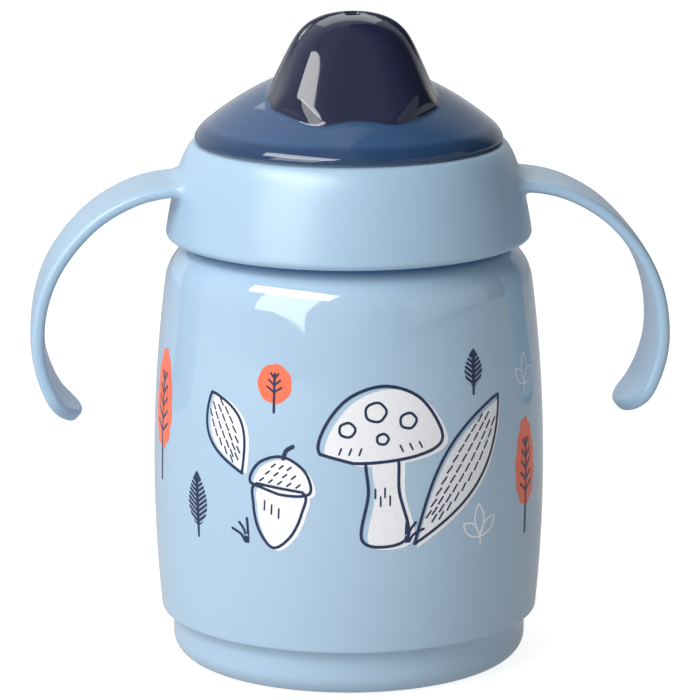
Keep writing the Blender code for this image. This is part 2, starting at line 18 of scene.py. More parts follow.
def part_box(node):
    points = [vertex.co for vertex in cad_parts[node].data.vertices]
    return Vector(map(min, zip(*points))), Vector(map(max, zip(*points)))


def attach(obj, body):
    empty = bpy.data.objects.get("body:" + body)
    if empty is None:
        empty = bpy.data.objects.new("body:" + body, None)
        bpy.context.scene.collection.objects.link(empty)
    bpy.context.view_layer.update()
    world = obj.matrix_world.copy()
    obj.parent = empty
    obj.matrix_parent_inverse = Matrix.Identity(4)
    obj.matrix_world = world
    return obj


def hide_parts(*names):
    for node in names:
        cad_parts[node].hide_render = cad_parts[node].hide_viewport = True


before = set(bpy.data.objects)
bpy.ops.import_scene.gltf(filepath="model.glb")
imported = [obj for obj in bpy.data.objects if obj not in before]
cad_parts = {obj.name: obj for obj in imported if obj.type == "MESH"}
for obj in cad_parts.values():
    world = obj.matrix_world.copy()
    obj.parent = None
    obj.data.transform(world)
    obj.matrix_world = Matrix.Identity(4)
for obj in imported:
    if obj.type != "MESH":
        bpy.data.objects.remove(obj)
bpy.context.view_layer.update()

MM = 0.001

# Camera and studio
CAMERA_AZIMUTH = -4.5
CAMERA_DISTANCE = 815.9
CAMERA_HEIGHT = 247.5
CAMERA_AIM = 60.0
CAMERA_LENS = 220.8
CAMERA_SENSOR = 36.0
CAMERA_SHIFT = 0.0017

FLOOR_GLOW = 0.86
FLOOR_BOUNCE = 0.26
FLOOR_REACH = 4000.0
FLOOR_DROP = 0.1
FLOOR_SHADES = ((0.34, 0.34, 0.34), (0.36, 0.36, 0.36))

# Each softbox: azimuth and elevation in degrees, width, height, brightness and roll in degrees
PANELS = {
    "key": (-45, 22, 560, 673, 3.8, -6),
    "key_top": (-48, 45, 820, 235, 7.5, 0),
    "right_weak": (62, 16, 1000, 520, 0.32, 0),
    "back_top": (180, 50, 700, 420, 1.3, 0),
}
PANEL_DISTANCE = 900
PANEL_TARGET = 80

# Brightness of the room by direction, in degrees from the camera's side, right positive
SURROUND = [
    (-180, 0.70), (-130, 0.70), (-95, 0.45), (-60, 0.30), (-25, 0.45), (0, 0.40), (30, 0.12),
    (90, 0.04), (130, 0.04), (145, 0.45), (180, 0.70),
]

# Cup body
FOOT_RECESS_RADIUS = 26.5
FOOT_RECESS = 1.0
BASE_RADIUS = 34.6
BASE_ROUNDING = 4.5
STEP_HEIGHT = 9.3
BARREL_RADIUS = 38.1
BARREL_HEIGHT = 37.0
BARREL_CURVE = 0.00173
SHOULDER_START = 74.8
SHOULDER_ROUNDING = 9.2
WALL = 1.8
FLOOR_TOP = 3.0
NECK_RADIUS = 29.4
NECK_BORE = 27.6
RIM_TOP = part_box("cup_body")[1].z / MM
CUP_STEPS = 288

# Thread
THREAD_LEAD = 4.0
THREAD_TURNS = 1.25
THREAD_START = 86.5
THREAD_HEIGHT = 1.3
THREAD_BASE_HALF = 1.1
THREAD_CREST_HALF = 0.4
THREAD_FADE = math.radians(20)
COLLAR_THREAD_DROP = 1.5

# Collar
SKIRT_BOTTOM = 82.9
SKIRT_BORE = 31.1
SKIRT_LEAD_IN = 0.8
SKIRT_LIP = 0.5
SKIRT_WIDEST = 84.0
SKIRT_RADIUS = 35.46
SKIRT_LEAN = 0.15
SKIRT_CURVE = 0.0045
SKIRT_EDGE = 1.6
SKIRT_SLANT = 0.97
COLLAR_TOP = 101.5
COLLAR_TURN_IN = 1.2
COLLAR_TURN_IN_POWER = 8
COLLAR_CELL = 0.5
SEAL_SEAT = 97.5
SEAL_SEAT_INNER = 27.3
LEDGE_INNER = 28.4
DECK_GAP = 0.35
DECK_THICKNESS = 1.5
WELL_Y = -9.0
WELL_HALF_WIDTH = 14.5
WELL_HALF_DEPTH = 12.3
WELL_POWER = 2.3
WELL_WALL = 1.6
WELL_FLOOR = 103.5
SOCKET_BOTTOM = 97.0
SOCKET_BORE = 11.5
VENT_Y = 16.0
VENT_BOSS_RADIUS = 5.4
VENT_BOSS_BOTTOM = 106.0
VENT_HOLE_RADIUS = 1.4
VENT_POCKET_RADIUS = 2.8
VENT_POCKET_FLOOR = 107.6

# Handles
HANDLE_LINE = [
    (30.0, 94.1), (38.7, 92.9), (44.9, 90.45), (50.4, 86.6), (55.5, 80.7),
    (58.7, 74.5), (60.3, 67.5), (60.1, 59.8), (57.2, 52.2), (52.6, 48.2),
]
HANDLE_WIDTH = 20.5
HANDLE_ROOT_THICKNESS = 2.6
HANDLE_TIP_THICKNESS = 2.9
HANDLE_TIP_LENGTH = 8.0
HANDLE_EDGE = 0.95
HANDLE_CROWN = 0.25
HANDLE_FILLET = 2.2
HANDLE_STEPS = 40
HANDLE_STRIDE = 5
HANDLE_BEYOND = 4.0
HANDLE_NOT_NEAR = 50.0

# Dome and spout
DOME_APEX = 116.5
DOME_CURVE = 0.01475
DOME_RIM_RADIUS = 30.5
DOME_RIM_BOTTOM = 101.8
DOME_WALL = 1.35
DOME_SKIRT_BORE = 28.9
DOME_RIM_ROUNDING = 2.6
DOME_VENT_RADIUS = 0.8
DOME_CELL = 0.35
SPOUT_FOOT = 108.0
SPOUT_RISE = 20.4
SPOUT_HALF_WIDTH = 17.7
SPOUT_TAPER = 0.43
SPOUT_RIDGE_Y = -9.0
SPOUT_FRONT_Y = -23.2
SPOUT_FRONT_LEAN = 0.54
SPOUT_REAR_Y = 11.5
SPOUT_REAR_LEAN = -0.85
SPOUT_BULGE = 0.0139
SPOUT_BULGE_POWER = 2.3
SPOUT_ARCH_POWER = 10
SPOUT_ROOT_FILLET = 0.6
SPOUT_REAR_ROUNDING = 3.0
SPOUT_LEAST_WIDTH = 2.0
SPOUT_LEAST_SLOPE = 0.06
CREASE_DEPTH = 4.4
CREASE_NARROWING = 0.8
CREASE_TAPER = 0.04
CREASE_DROP = 1.85
CREASE_ROUNDING = 0.6
CREASE_LEAST_WIDTH = 4.0
PANEL_DEPTH = 0.40
PANEL_POWER = 2.38
PANEL_TOP_SHARE = 0.65
PANEL_LIMIT = 1.1
FOOT_HALF_WIDTH = 16.9
FOOT_Y = -24.4
FOOT_DEPTH = 12.6
FOOT_POWER = 2.4
FOOT_LIMIT = 1.2
FOOT_ROUNDING = 1.0
SLOT_HALF_LENGTH = 1.2
SLOT_HALF_WIDTH = 0.45

# Print on the barrel
PRINT_RADIUS = 38.0
PRINT_BOTTOM = 0.015
PRINT_TOP = 0.05
PRINT_OVER_TOP = 0.08
PRINT_CELL = 0.16
PRINT_SPACING = 2.0
PRINT_MARGIN = 0.5
FINE_LINE = 0.34
LINE = 0.5
OUTLINE = 0.55

# Looks of moulded pieces: linear colour, its variation, the roughness's range, bumps of (features
# in a metre, depth), the specular level, and the two heights of a band of painted shade
INK_SURFACE = (0.22, 0.32), [(2600, 0.002)]
MOULDED = {
    "body_gloss": (
        (0.380, 0.535, 0.690), 0.012, (0.035, 0.06), [(60, 0.004), (1500, 0.0004)], 1.0, (81.1, 82.9),
    ),
    "collar_satin": ((0.355, 0.515, 0.675), 0.012, (0.30, 0.33), [(90, 0.004), (3200, 0.001)], 0.7),
    "valve_white": ((0.80, 0.82, 0.84), 0.015, (0.32, 0.42), [(2500, 0.003)]),
    "silicone_frosted": ((0.66, 0.70, 0.74), 0.03, (0.45, 0.58), [(1800, 0.004)], 0.35),
    "ink_white": ((0.84, 0.84, 0.87), 0.02, *INK_SURFACE),
    "ink_orange": ((0.98, 0.16, 0.075), 0.03, *INK_SURFACE),
    "ink_navy": ((0.009, 0.024, 0.078), 0.08, *INK_SURFACE),
}
# Painted shade: the deeper blue of a band on the cup just under the collar, and how far it fades
GAP_PAINTED_SHADE_COLOUR = (0.235, 0.465, 0.765)
GAP_PAINTED_SHADE_FADE = 0.8

# The dome's tint over the deck, its painted shade at the rim and in the hollow spout, and where one gives
# way to the next
DECK_TINT = (0.070, 0.155, 0.33)
RIM_PAINTED_SHADE = (0.032, 0.085, 0.200)
SPOUT_PAINTED_SHADE = (0.016, 0.020, 0.055)
RIM_PAINTED_SHADE_RADII = (27.4, 28.6)
SPOUT_PAINTED_SHADE_HEIGHTS = (0.08, 0.3)
DECK_CLEARNESS = 0.45
SPOUT_CLEARNESS = 0.2


# Fields; the last number in a soft_min or soft_max is the size of the rounding

FAR = 1e9


def soft_min(a, b, blend):
    """The smaller of two fields, with a rounded valley where they meet."""
    share = np.maximum(blend - np.abs(a - b), 0) / blend
    return np.minimum(a, b) - share * share * blend / 4


def soft_max(a, b, blend):
    return -soft_min(-a, -b, blend)


def smooth_path(points, steps):
    """A Catmull-Rom curve through points, with the same number of steps in every span."""
    first = [2 * a - b for a, b in zip(points[0], points[1])]
    last = [2 * a - b for a, b in zip(points[-1], points[-2])]
    padded = np.array([first, *points, last], float)
    path = []
    for a, b, c, d in zip(padded, padded[1:], padded[2:], padded[3:]):
        for i in range(steps):
            t = i / steps
            path.append(0.5 * (2 * b + (c - a) * t + (2 * a - 5 * b + 4 * c - d) * t ** 2
                               + (3 * b - a - 3 * c + d) * t ** 3))
    path.append(np.array(points[-1], float))
    return np.array(path)


def closed_path(points, steps):
    """A closed Catmull-Rom curve through points."""
    count = len(points)
    ring = [points[i % count] for i in range(-1, count + 2)]
    return smooth_path(ring, steps)[steps:-2 * steps]


def dome_field(radius, z, drop=0.0):
    height = DOME_APEX - drop - DOME_CURVE * radius ** 2
    return (z - height) / np.sqrt(1 + (2 * DOME_CURVE * radius) ** 2)


def thread_ridge(angle, z, start):
    """How far a thread's ridge stands out at an angle and height, from 0 to 1."""
    turn = np.mod(angle, math.tau)
    laps = np.round(((z - start) / THREAD_LEAD * math.tau - turn) / math.tau)
    along = turn + math.tau * np.clip(laps, 0, 1)
    off = np.abs(z - start - THREAD_LEAD * along / math.tau)
    ridge = np.clip((THREAD_BASE_HALF - off) / (THREAD_BASE_HALF - THREAD_CREST_HALF), 0, 1)
    end = THREAD_TURNS * math.tau
    fade = np.clip(np.minimum(along, end - along) / THREAD_FADE, 0, 1)
    smooth = ridge * ridge * (3 - 2 * ridge)
    return smooth * fade * fade * (3 - 2 * fade)


def collar_radius(z):
    """The collar's outside: nearly straight, then turning in towards the dome's rim."""
    rise = np.clip(z - SKIRT_WIDEST, 0, COLLAR_TOP - SKIRT_WIDEST)
    turn_in = COLLAR_TURN_IN * (rise / (COLLAR_TOP - SKIRT_WIDEST)) ** COLLAR_TURN_IN_POWER
    return SKIRT_RADIUS - SKIRT_LEAN * rise - SKIRT_CURVE * rise ** 2 - turn_in


def oval_field(x, y, grow):
    across = np.abs(x) / (WELL_HALF_WIDTH + grow)
    deep = np.abs(y - WELL_Y) / (WELL_HALF_DEPTH + grow)
    reach = (across ** WELL_POWER + deep ** WELL_POWER) ** (1 / WELL_POWER)
    return (reach - 1) * (WELL_HALF_DEPTH + grow)


class HandleLine:
    """The handle's centre line with smooth normals, for distances along it and off it."""

    def __init__(self):
        fine = smooth_path(HANDLE_LINE, HANDLE_STEPS)
        last = fine[-1] - fine[-2]
        beyond = fine[-1] + last / np.linalg.norm(last) * HANDLE_BEYOND
        self.points = np.vstack([fine, beyond])
        steps = np.linalg.norm(np.diff(self.points, axis=0), axis=1)
        self.along = np.concatenate([[0], np.cumsum(steps)])
        self.length = self.along[-2]
        tangents = np.gradient(self.points, self.along, axis=0)
        self.tangents = tangents / np.linalg.norm(tangents, axis=1)[:, None]
        self.coarse = list(range(0, len(fine), HANDLE_STRIDE)) + [len(self.points) - 1]

    def offsets(self, along, x, z):
        """How far points are past, and outward of, the line's points at distances along it."""
        at_x, at_z, run_x, run_z = (
            np.interp(along, self.along, values) for values in (*self.points.T, *self.tangents.T)
        )
        return (x - at_x) * run_x + (z - at_z) * run_z, (z - at_z) * run_x - (x - at_x) * run_z

    def nearest(self, x, z):
        """Distance along the line, signed distance off it and distance past its ends."""
        best = np.full(x.shape, FAR)
        along = np.zeros(x.shape)
        for a, b in zip(self.coarse, self.coarse[1:]):
            run = self.points[b] - self.points[a]
            size = run @ run
            from_x, from_z = x - self.points[a][0], z - self.points[a][1]
            t = np.clip((from_x * run[0] + from_z * run[1]) / size, 0, 1)
            gap = (from_x - t * run[0]) ** 2 + (from_z - t * run[1]) ** 2
            closer = gap < best
            best = np.where(closer, gap, best)
            along = np.where(closer, self.along[a] + t * (self.along[b] - self.along[a]), along)
        for _ in range(2):
            slip = self.offsets(along, x, z)[0]
            along = np.clip(along + np.clip(slip, -1, 1), 0, self.along[-1])
        past, off = self.offsets(along, x, z)
        return along, off, np.where((along <= 0) | (along >= self.along[-1]), np.abs(past), 0)


HANDLE = HandleLine()


def handle_field(x, y, z):
    along, off, past = HANDLE.nearest(np.abs(x), z)
    share = np.clip(along / HANDLE.length, 0, 1)
    half = (HANDLE_ROOT_THICKNESS + (HANDLE_TIP_THICKNESS - HANDLE_ROOT_THICKNESS) * share) / 2
    half_width = HANDLE_WIDTH / 2
    in_tip = np.maximum(along - (HANDLE.length - HANDLE_TIP_LENGTH), 0)
    plan = np.sqrt((in_tip * half_width / HANDLE_TIP_LENGTH) ** 2 + y ** 2)
    crown = HANDLE_CROWN * (1 - (y / half_width) ** 2) - HANDLE_CROWN
    sideways = np.maximum(plan - half_width + HANDLE_EDGE, 0)
    outward = np.maximum(np.abs(off) - half - crown + HANDLE_EDGE, 0)
    inner = np.minimum(np.maximum(plan - half_width, np.abs(off) - half - crown) + HANDLE_EDGE, 0)
    return np.sqrt(sideways ** 2 + outward ** 2) + inner - HANDLE_EDGE + past


def collar_field(x, y, z):
    """The collar and both handles, one moulding."""
    radius = np.hypot(x, y)
    angle = np.arctan2(y, x)
    outside = soft_max((radius - collar_radius(z)) * SKIRT_SLANT, SKIRT_BOTTOM - z, SKIRT_EDGE)
    deck = np.maximum(radius - LEDGE_INNER, dome_field(radius, z, DOME_WALL + DECK_GAP))
    solid = soft_max(outside, soft_min(z - COLLAR_TOP, deck, 0.5), 0.6)
    far = np.abs(x) > SEAL_SEAT_INNER
    if far.any():
        grip = np.full(x.shape, HANDLE_NOT_NEAR)
        grip[far] = handle_field(x[far], y[far], z[far])
        solid = soft_min(solid, grip, HANDLE_FILLET)
    bore = SKIRT_BORE - THREAD_HEIGHT * thread_ridge(angle, z, THREAD_START - COLLAR_THREAD_DROP)
    lead_in = np.clip(SKIRT_BOTTOM + SKIRT_LIP + SKIRT_LEAD_IN - z, 0, SKIRT_LEAD_IN)
    skirt = np.maximum(radius - bore - lead_in, z - SEAL_SEAT)
    under = dome_field(radius, z, DOME_WALL + DECK_GAP + DECK_THICKNESS)
    chamber = soft_max(radius - SEAL_SEAT_INNER, under, 0.8)
    hollow = soft_min(skirt, chamber, 0.4)
    well_wall = np.maximum(oval_field(x, y, WELL_WALL), SOCKET_BOTTOM - z)
    from_vent = np.hypot(x, y - VENT_Y)
    boss = np.maximum(from_vent - VENT_BOSS_RADIUS, VENT_BOSS_BOTTOM - z)
    hollow = soft_max(hollow, -soft_min(well_wall, boss, 0.8), 0.6)
    well = soft_max(oval_field(x, y, 0), WELL_FLOOR - z, 0.8)
    socket = np.hypot(x, y - WELL_Y) - SOCKET_BORE
    hole = from_vent - VENT_HOLE_RADIUS
    pocket = np.maximum(from_vent - VENT_POCKET_RADIUS, VENT_POCKET_FLOOR - z)
    cut = soft_min(soft_min(well, socket, 0.4), soft_min(hole, pocket, 0.2), 0.2)
    return soft_max(soft_max(solid, -hollow, 0.5), -cut, 0.4)


def spout_field(x, y, z):
    """The solid between the spout's front and rear faces, under its arch."""
    rise = z - SPOUT_FOOT
    forward = soft_max(0.0, (SPOUT_RIDGE_Y - y) / CREASE_DEPTH, 0.25)
    half = SPOUT_HALF_WIDTH - CREASE_NARROWING * forward
    taper = SPOUT_TAPER + CREASE_TAPER * forward
    top = SPOUT_RISE - CREASE_DROP * forward
    width = np.maximum(half - taper * rise, SPOUT_LEAST_WIDTH)
    across = np.abs(x) / width
    up = np.maximum(rise, 0) / top
    power = SPOUT_ARCH_POWER
    arch = across ** 2 + up ** power - 1
    slope_x = 2 * across / width
    slope_z = 2 * across ** 2 * taper / width + power * up ** (power - 1) / top
    narrowing = CREASE_NARROWING + CREASE_TAPER * rise
    slope_y = 2 * across ** 2 / width * narrowing + power * up ** power / top * CREASE_DROP
    slope_y = slope_y / CREASE_DEPTH * (y < SPOUT_RIDGE_Y)
    arch = arch / np.maximum(np.sqrt(slope_x ** 2 + slope_y ** 2 + slope_z ** 2), SPOUT_LEAST_SLOPE)
    bulge = SPOUT_BULGE * np.abs(x) ** SPOUT_BULGE_POWER
    curve = SPOUT_BULGE * SPOUT_BULGE_POWER * np.abs(x) ** (SPOUT_BULGE_POWER - 1)
    rear = y - (SPOUT_REAR_Y + SPOUT_REAR_LEAN * rise - bulge)
    rear = rear / np.sqrt(1 + SPOUT_REAR_LEAN ** 2 + curve ** 2)

    crease = SPOUT_HALF_WIDTH - CREASE_NARROWING - (SPOUT_TAPER + CREASE_TAPER) * rise
    crease = np.maximum(crease, CREASE_LEAST_WIDTH)
    lift = PANEL_TOP_SHARE * (np.maximum(rise, 0) / (SPOUT_RISE - CREASE_DROP)) ** power
    share = np.minimum((x / crease) ** 2 + lift, PANEL_LIMIT)
    pillow = PANEL_DEPTH * crease * share ** PANEL_POWER
    steep = PANEL_DEPTH * PANEL_POWER * share ** (PANEL_POWER - 1)
    slope_x = steep * 2 * np.abs(x) / crease
    slope_z = SPOUT_FRONT_LEAN + steep * crease * power * lift / np.maximum(rise, 1.0)
    front = SPOUT_FRONT_Y + SPOUT_FRONT_LEAN * rise + pillow - y
    front = front / np.sqrt(1 + slope_x ** 2 + slope_z ** 2)

    foot_share = np.minimum(np.abs(x) / FOOT_HALF_WIDTH, FOOT_LIMIT)
    foot_slope = FOOT_DEPTH * FOOT_POWER / FOOT_HALF_WIDTH * foot_share ** (FOOT_POWER - 1)
    foot = FOOT_Y + FOOT_DEPTH * foot_share ** FOOT_POWER - y
    front = soft_max(front, foot / np.sqrt(1 + foot_slope ** 2), FOOT_ROUNDING)
    return soft_max(soft_max(arch, front, CREASE_ROUNDING), rear, SPOUT_REAR_ROUNDING)


def dome_shell_field(x, y, z):
    """The dome and the spout, one soft shell."""
    radius = np.hypot(x, y)
    crown = soft_min(dome_field(radius, z), spout_field(x, y, z), SPOUT_ROOT_FILLET)
    rim = soft_max(radius - DOME_RIM_RADIUS, DOME_RIM_BOTTOM - z, 0.5)
    outside = soft_max(crown, rim, DOME_RIM_ROUNDING)
    inside = soft_max(crown + DOME_WALL, radius - DOME_SKIRT_BORE, 0.6)
    slot = np.hypot(np.maximum(np.abs(x) - SLOT_HALF_LENGTH + SLOT_HALF_WIDTH, 0), y - SPOUT_RIDGE_Y)
    slot = np.maximum(slot - SLOT_HALF_WIDTH, SPOUT_FOOT - z)
    vent = np.hypot(x, y - VENT_Y) - DOME_VENT_RADIUS
    cut = np.minimum(slot, vent)
    return soft_max(soft_max(outside, -inside, 0.4), -cut, 0.35)


# Meshing

BLOCK = 4
BLOCK_REACH = 1.3
SURFACE_STEP = 0.05
NORMAL_STEP = 0.12
LEAST_GRADIENT = 0.05
SHARP_ANGLE = math.radians(40)
BOX_MARGIN = 1.0


def spread(mask, axis):
    """Marks the grid points that touch a marked block, along one axis."""
    fine = np.repeat(mask, BLOCK, axis)
    below, above = [(0, 0)] * 3, [(0, 0)] * 3
    below[axis], above[axis] = (1, 0), (0, 1)
    return np.pad(fine, below) | np.pad(fine, above)


def evaluate(field, points, chunk=200000):
    parts = [field(*points[i:i + chunk].T) for i in range(0, len(points), chunk)]
    return np.concatenate(parts)


def gradient(field, points, step):
    ahead = [evaluate(field, points + shift) for shift in step * np.eye(3)]
    behind = [evaluate(field, points - shift) for shift in step * np.eye(3)]
    return (np.stack(ahead, 1) - np.stack(behind, 1)) / (2 * step)


def mesh_field(field, low, high, cell):
    """Meshes the surface where a field is zero: points, quads and each point's normal.

    Blocks of cells far from the surface are skipped. Each mixed cell gets one point, and each grid
    edge that the surface crosses gets the quad between the four cells round it.
    """
    low = np.array(low, float)
    units = np.eye(3, dtype=int)
    blocks = [math.ceil((b - a) / (cell * BLOCK)) for a, b in zip(low, high)]
    counts = [n * BLOCK for n in blocks]
    centres = [a + cell * BLOCK * (np.arange(n) + 0.5) for a, n in zip(low, blocks)]
    grid = np.stack(np.meshgrid(*centres, indexing="ij"), -1).reshape(-1, 3)
    values = evaluate(field, grid).reshape(blocks)
    active = np.abs(values) < cell * BLOCK * BLOCK_REACH
    for axis in range(3):
        values = np.repeat(values, BLOCK, axis)
        active = spread(active, axis)
    values = np.pad(values, [(0, 1)] * 3, mode="edge")
    where = np.argwhere(active)
    values[tuple(where.T)] = evaluate(field, low + cell * where)
    inside = values < 0

    total = np.zeros(counts, np.int8)
    for a, b, c in itertools.product((0, 1), repeat=3):
        total += inside[a:a + counts[0], b:b + counts[1], c:c + counts[2]]
    cells = np.argwhere((total > 0) & (total < 8))
    number = np.full(counts, -1)
    number[tuple(cells.T)] = np.arange(len(cells))

    sums = np.zeros((len(cells), 3))
    hits = np.zeros(len(cells))
    quads = []
    for axis in range(3):
        one, two = (axis + 1) % 3, (axis + 2) % 3
        unit = units[axis]
        for i, j in itertools.product((0, 1), repeat=2):
            corner = cells + i * units[one] + j * units[two]
            start = values[tuple(corner.T)]
            end = values[tuple((corner + unit).T)]
            crossed = (start < 0) != (end < 0)
            share = np.where(crossed, start / np.where(crossed, start - end, 1), 0)
            sums += np.where(crossed[:, None], corner + share[:, None] * unit, 0)
            hits += crossed
        edges = np.argwhere(np.diff(inside, axis=axis))
        for side in (one, two):
            edges = edges[(edges[:, side] > 0) & (edges[:, side] < counts[side])]
        turns = ((1, 1), (0, 1), (0, 0), (1, 0))
        around = [edges - i * units[one] - j * units[two] for i, j in turns]
        loop = np.stack([number[tuple(near.T)] for near in around], 1)
        outward = inside[tuple(edges.T)]
        quads.append(np.where(outward[:, None], loop, loop[:, ::-1]))
    points = low + cell * sums / hits[:, None]
    for _ in range(2):
        slope = gradient(field, points, SURFACE_STEP)
        value = evaluate(field, points)
        step = value / np.maximum((slope ** 2).sum(1), LEAST_GRADIENT)
        points -= np.clip(step[:, None] * slope, -cell / 2, cell / 2)
    return points, np.concatenate(quads), gradient(field, points, NORMAL_STEP)


def rounded(corners, spacing=12.0):
    """An outline of (radius, height, rounding) corners, with an arc in place of each rounded one."""
    outline = []
    for i, (x, z, rounding) in enumerate(corners):
        here = np.array((x, z), float)
        if not rounding or i in (0, len(corners) - 1):
            outline.append(tuple(here))
            continue
        back = np.array(corners[i - 1][:2]) - here
        ahead = np.array(corners[i + 1][:2]) - here
        back_length, ahead_length = np.linalg.norm(back), np.linalg.norm(ahead)
        back, ahead = back / back_length, ahead / ahead_length
        half = math.acos(np.clip(back @ ahead, -1, 1)) / 2
        trim = min(rounding / math.tan(half), 0.49 * min(back_length, ahead_length))
        radius = trim * math.tan(half)
        bisector = (back + ahead) / np.linalg.norm(back + ahead)
        centre = here + bisector * radius / math.sin(half)
        first = here + back * trim - centre
        last = here + ahead * trim - centre
        sweep = math.pi - 2 * half
        steps = max(2, math.ceil(math.degrees(sweep) / spacing))
        for k in range(steps + 1):
            t = k / steps
            arm = (math.sin((1 - t) * sweep) * first + math.sin(t * sweep) * last) / math.sin(sweep)
            outline.append(tuple(centre + arm))
    return outline


def turned(outline, steps, swell=None):
    """Turns an outline about Z: points and faces. swell gives a radius added by angle and height."""
    angles = math.tau * np.arange(steps) / steps
    points, rings = [], []
    for radius, height in outline:
        ring_angles = angles if radius > 1e-6 else angles[:1]
        extra = swell(ring_angles, radius, height) if swell else 0
        first = len(points)
        for x, y in zip((radius + extra) * np.cos(ring_angles), (radius + extra) * np.sin(ring_angles)):
            points.append((x, y, height))
        rings.append(range(first, len(points)))
    pairs = list(zip(rings, rings[1:]))
    if len(rings[0]) > 1:
        pairs.append((rings[-1], rings[0]))
    faces = []
    for low, high in pairs:
        for i in range(steps):
            j = (i + 1) % steps
            corners = [low[i % len(low)], low[j % len(low)], high[j % len(high)], high[i % len(high)]]
            faces.append(tuple(dict.fromkeys(corners)))
    return np.array(points), faces


def add_object(name, data):
    obj = bpy.data.objects.new(name, data)
    bpy.context.collection.objects.link(obj)
    return obj


def make_piece(name, shape, material, body, stands_for=()):
    """A smooth mesh of points, faces and perhaps normals, in the frame's place, riding on a body."""
    points, faces, *normals = shape
    mesh = bpy.data.meshes.new(name)
    mesh.from_pydata(np.asarray(points) * MM, [], faces)
    mesh.shade_smooth()
    if normals:
        unit = normals[0] / np.linalg.norm(normals[0], axis=1)[:, None]
        mesh.normals_split_custom_set_from_vertices(unit)
    else:
        mesh.set_sharp_from_angle(angle=SHARP_ANGLE)
    mesh.materials.append(material)
    obj = add_object(name, mesh)
    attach(obj, body)
    if stands_for:
        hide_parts(*stands_for)


# The three shown pieces

def barrel_radius(z):
    return BARREL_RADIUS - BARREL_CURVE * (z - BARREL_HEIGHT) ** 2


def shoulder_arc(radius, neck_radius):
    """The shoulder from where it leaves the barrel without a corner to where it meets the neck."""
    slope = math.atan(2 * BARREL_CURVE * (SHOULDER_START - BARREL_HEIGHT))
    across = barrel_radius(SHOULDER_START) - SHOULDER_ROUNDING * math.cos(slope)
    up = SHOULDER_START - SHOULDER_ROUNDING * math.sin(slope)
    end = math.acos((neck_radius - across) / radius)
    angles = np.linspace(slope, end, 25)
    return [(across + radius * math.cos(a), up + radius * math.sin(a), 0) for a in angles]


def cup_outline():
    """The cup from the centre of its underside, up the outside and down the inside."""
    corners = [(0, FOOT_RECESS, 0), (FOOT_RECESS_RADIUS - FOOT_RECESS, FOOT_RECESS, 0.6)]
    corners += [(FOOT_RECESS_RADIUS, 0, 0.5), (BASE_RADIUS, 0, BASE_ROUNDING)]
    corners += [(BASE_RADIUS, STEP_HEIGHT, 0.5), (barrel_radius(STEP_HEIGHT), STEP_HEIGHT, 0.6)]
    heights = np.linspace(STEP_HEIGHT + 1.7, SHOULDER_START, 43)[:-1]
    corners += [(barrel_radius(z), z, 0) for z in heights]
    corners += shoulder_arc(SHOULDER_ROUNDING, NECK_RADIUS)
    neck_bottom = corners[-1][1] + 0.3
    corners += [(NECK_RADIUS, z, 0) for z in np.arange(neck_bottom, RIM_TOP - 1.2, 0.2)]
    corners += [(NECK_RADIUS, RIM_TOP, 0.5), (NECK_BORE, RIM_TOP, 0.5)]
    corners += reversed(shoulder_arc(SHOULDER_ROUNDING - WALL, NECK_BORE))
    corners += [(barrel_radius(z) - WALL, z, 0) for z in np.linspace(SHOULDER_START, 14.0, 16)[1:]]
    corners += [(BASE_RADIUS - WALL, FLOOR_TOP, BASE_ROUNDING), (0, FLOOR_TOP, 0)]
    return rounded(corners)


def neck_swell(angles, radius, z):
    on_neck = abs(radius - NECK_RADIUS) < 0.01 and z < RIM_TOP - 1.0
    return THREAD_HEIGHT * thread_ridge(angles, z, THREAD_START) if on_neck else 0


def add_cup(material):
    shape = turned(cup_outline(), CUP_STEPS, neck_swell)
    make_piece("cup", shape, material, "cup", ["cup_body"])


def grown(box):
    """A box of the frame's in millimetres, with a margin round it."""
    low, high = box
    return [value / MM - BOX_MARGIN for value in low], [value / MM + BOX_MARGIN for value in high]


def add_collar(material):
    shape = mesh_field(collar_field, *grown(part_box("handle_collar")), COLLAR_CELL)
    make_piece("collar_and_handles", shape, material, "lid", ["handle_collar"])


def add_dome(material):
    shape = mesh_field(dome_shell_field, *grown(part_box("spout_dome")), DOME_CELL)
    make_piece("dome_and_spout", shape, material, "lid", ["spout_dome"])


# The pieces inside the lid, their outlines in (radius, height, rounding); AXIS stands for the axis

VALVE_DATUM = 94.0
VALVE_STEPS = 96
VALVE_CELL = 0.3
PORT_COUNT = 6
PORT_RADIUS = 1.4
PORT_CIRCLE = 5.8
PORT_START = math.radians(8)
AXIS = -3.0


def ports(x, y):
    """Round ports on a circle: the distance outside the nearest one."""
    angle = np.arctan2(y, x) - PORT_START
    pitch = math.tau / PORT_COUNT
    angle = angle - pitch * np.round(angle / pitch)
    radius = np.hypot(x, y)
    return np.hypot(radius * np.cos(angle) - PORT_CIRCLE, radius * np.sin(angle)) - PORT_RADIUS


def add_valve_part(name, field, reach, bottom, top, material, body, node):
    """A meshed field in place of a plastic part of the valve, in a box from bottom to top."""
    low = (-reach, WELL_Y - reach, VALVE_DATUM + bottom)
    high = (reach, WELL_Y + reach, VALVE_DATUM + top)
    shape = mesh_field(field, low, high, VALVE_CELL)
    make_piece(name, shape, material, body, [node])


def add_valve_housing(material):
    outline = region(rounded([
        (AXIS, 7.8, 0), (9.0, 7.8, 0.4), (9.0, 0.9, 0.3), (12.9, 0.9, 0.4), (12.9, 2.6, 0.4),
        (11.2, 2.6, 0.3), (11.2, 5.0, 0.2), (10.2, 5.0, 0.2), (10.2, 6.8, 0.2), (11.2, 6.8, 0.2),
        (11.2, 9.1, 0.6), (AXIS, 9.1, 0),
    ], 30))

    def field(x, y, z):
        body = outline(np.hypot(x, y - WELL_Y), z - VALVE_DATUM)
        port = np.maximum(ports(x, y - WELL_Y), VALVE_DATUM + 7.0 - z)
        return soft_max(body, -port, 0.3)

    add_valve_part("valve_body", field, 13.5, 0, 10, material, "valve_unit", "valve_housing")


